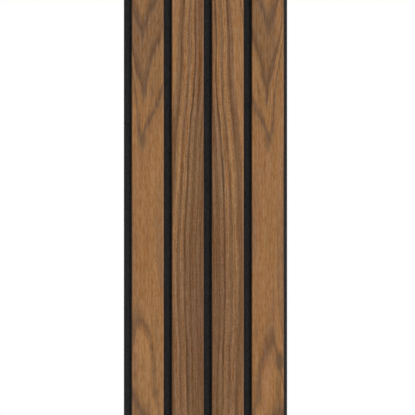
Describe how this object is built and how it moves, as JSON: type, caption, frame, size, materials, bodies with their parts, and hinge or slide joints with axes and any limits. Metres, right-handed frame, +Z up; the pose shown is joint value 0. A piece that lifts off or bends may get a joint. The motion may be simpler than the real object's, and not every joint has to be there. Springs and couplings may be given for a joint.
{
  "type": "acoustic slat wall panel",
  "caption": "Sound-absorbing wall panel: upright wood-veneered slats, evenly spaced on a board of black felt, lapped at its long edges to join the next panel.",
  "frame": {"origin": "middle of the felt's wall side: halfway across the overall width, lip included, and halfway up the panel", "axes": "+Z up along the slats, +X to the right as seen from the room, +Y into the wall, so the slats face -Y"},
  "size_m": [0.1634, 0.021, 0.6],
  "materials": {
    "felt": "pressed polyester felt, matt charcoal black",
    "fibreboard": "raw medium-density fibreboard",
    "veneer": "walnut veneer, satin lacquer",
    "staple_wire": "galvanised flat wire"
  },
  "bodies": {
    "root": {"felt_board": "felt", "slat_core_1": "fibreboard", "slat_core_2": "fibreboard", "slat_core_3": "fibreboard", "slat_core_4": "fibreboard", "slat_veneer_1": "veneer", "slat_veneer_2": "veneer", "slat_veneer_3": "veneer", "slat_veneer_4": "veneer", "staples": "staple_wire"}
  },
  "joints": []
}
